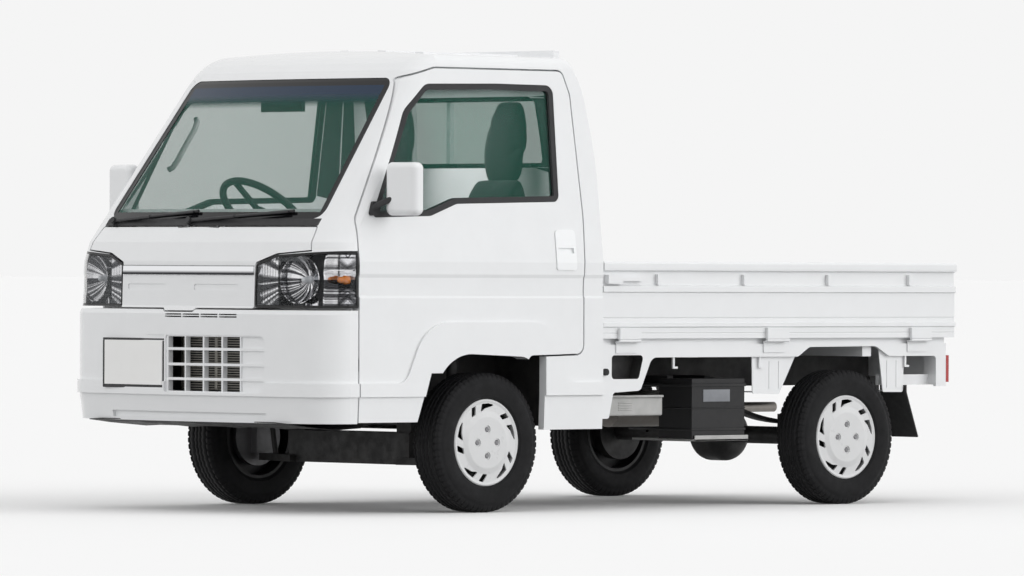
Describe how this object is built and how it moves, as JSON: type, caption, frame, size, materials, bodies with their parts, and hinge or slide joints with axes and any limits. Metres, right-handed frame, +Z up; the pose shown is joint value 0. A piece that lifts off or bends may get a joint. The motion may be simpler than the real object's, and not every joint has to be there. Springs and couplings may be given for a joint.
{
  "type": "kei truck",
  "caption": "Small cab-over light lorry with a hollow cab, opening doors, steered front wheels and a flat drop-side cargo bed with folding gates",
  "frame": {"origin": "on the ground at the centre of the vehicle's box", "axes": "+X vehicle's left, -Y vehicle's front, +Z up"},
  "size_m": [1.7406, 3.398, 1.7349],
  "materials": {
    "body_paint": "white solid body paint",
    "frame_black": "black chassis paint",
    "black_plastic": "grained black plastic",
    "grey_plastic": "grained grey plastic",
    "white_plastic": "white painted plastic",
    "glass": "clear safety glass",
    "lens": "clear polycarbonate",
    "lamp_inside": "bright reflector",
    "red_lens": "red and amber lens",
    "chrome": "bright plating",
    "tyre": "black tyre rubber",
    "rubber": "black rubber",
    "wheel_cap": "silver-white lacquer",
    "cast_metal": "bare cast and forged metal",
    "seat_fabric": "dark woven seat cloth",
    "plate_white": "blank plate"
  },
  "bodies": {
    "root": {"back_panel": "body_paint", "battery_box": "black_plastic", "bed": "body_paint", "bulkhead": "body_paint", "bumper_grille": "white_plastic", "cab_fittings": "black_plastic", "cab_floor": "body_paint", "chassis_frame": "frame_black", "cowl_cover": "black_plastic", "dashboard": "grey_plastic", "engine_block": "cast_metal", "exhaust": "cast_metal", "fixed_glass": "glass", "front_bumper": "white_plastic", "front_suspension": "frame_black", "fuel_tank": "frame_black", "gate_hinges": "body_paint", "guard_frame": "body_paint", "headboard": "body_paint", "headlamp_lenses": "lens", "headlamps": "lamp_inside", "mud_flaps": "rubber", "number_plates": "plate_white", "radiator": "frame_black", "rear_axle": "frame_black", "rear_lamps": "red_lens", "rear_panel": "body_paint", "roof_panel": "body_paint", "rubber_stops": "rubber", "seat_left": "seat_fabric", "seat_right": "seat_fabric", "side_frames": "body_paint", "splash_guards": "body_paint"},
    "door_left": {"door_left": "body_paint", "door_glass_left": "glass", "door_fittings_left": "black_plastic", "door_mirror_left": "black_plastic"},
    "door_right": {"door_right": "body_paint", "door_glass_right": "glass", "door_fittings_right": "black_plastic", "door_mirror_right": "black_plastic"},
    "gate_left": {"gate_left": "body_paint"},
    "gate_right": {"gate_right": "body_paint"},
    "tailgate": {"tailgate": "body_paint"},
    "front_lid": {"front_lid": "body_paint", "lid_trim": "chrome"},
    "knuckle_left": {"knuckle_left": "cast_metal"},
    "knuckle_right": {"knuckle_right": "cast_metal"},
    "wheel_front_left": {"wheel_front_left": "wheel_cap", "tyre_front_left": "tyre"},
    "wheel_front_right": {"wheel_front_right": "wheel_cap", "tyre_front_right": "tyre"},
    "wheel_rear_left": {"wheel_rear_left": "wheel_cap", "tyre_rear_left": "tyre"},
    "wheel_rear_right": {"wheel_rear_right": "wheel_cap", "tyre_rear_right": "tyre"},
    "steering_wheel": {"steering_wheel": "black_plastic"}
  },
  "joints": [
    {"name": "door_left_hinge", "type": "hinge", "parent": "root", "child": "door_left", "pos_m": [0.724, -1.437, 0.7], "axis": [0, 0, -1], "range_deg": [0, 65]},
    {"name": "door_right_hinge", "type": "hinge", "parent": "root", "child": "door_right", "pos_m": [-0.724, -1.437, 0.7], "axis": [0, 0, 1], "range_deg": [0, 65]},
    {"name": "gate_left_hinge", "type": "hinge", "parent": "root", "child": "gate_left", "pos_m": [0.727, 0.7, 0.636], "axis": [0, 1, 0], "range_deg": [0, 172]},
    {"name": "gate_right_hinge", "type": "hinge", "parent": "root", "child": "gate_right", "pos_m": [-0.727, 0.7, 0.636], "axis": [0, -1, 0], "range_deg": [0, 172]},
    {"name": "tailgate_hinge", "type": "hinge", "parent": "root", "child": "tailgate", "pos_m": [0, 1.6945, 0.636], "axis": [-1, 0, 0], "range_deg": [0, 172]},
    {"name": "front_lid_hinge", "type": "hinge", "parent": "root", "child": "front_lid", "pos_m": [0, -1.59, 1.04], "axis": [-1, 0, 0], "range_deg": [0, 50]},
    {"name": "steer_left", "type": "hinge", "parent": "root", "child": "knuckle_left", "pos_m": [0.575, -0.7905, 0.26], "axis": [0, 0, 1], "range_deg": [-33, 33]},
    {"name": "steer_right", "type": "hinge", "parent": "root", "child": "knuckle_right", "pos_m": [-0.575, -0.7905, 0.26], "axis": [0, 0, 1], "range_deg": [-34, 34]},
    {"name": "steering_wheel_turn", "type": "hinge", "parent": "root", "child": "steering_wheel", "pos_m": [-0.316, -1, 1.112], "axis": [0, 0.6691, 0.7431], "range_deg": [-500, 500]},
    {"name": "wheel_front_left_spin", "type": "hinge", "parent": "knuckle_left", "child": "wheel_front_left", "pos_m": [0.64, -0.7905, 0.26], "axis": [1, 0, 0], "continuous": true},
    {"name": "wheel_front_right_spin", "type": "hinge", "parent": "knuckle_right", "child": "wheel_front_right", "pos_m": [-0.64, -0.7905, 0.26], "axis": [1, 0, 0], "continuous": true},
    {"name": "wheel_rear_left_spin", "type": "hinge", "parent": "root", "child": "wheel_rear_left", "pos_m": [0.64, 1.1095, 0.26], "axis": [1, 0, 0], "continuous": true},
    {"name": "wheel_rear_right_spin", "type": "hinge", "parent": "root", "child": "wheel_rear_right", "pos_m": [-0.64, 1.1095, 0.26], "axis": [1, 0, 0], "continuous": true}
  ],
  "couplings": [
    {"joint": "steer_right", "follows": "steer_left", "ratio": 1},
    {"joint": "steering_wheel_turn", "follows": "steer_left", "ratio": 15}
  ]
}
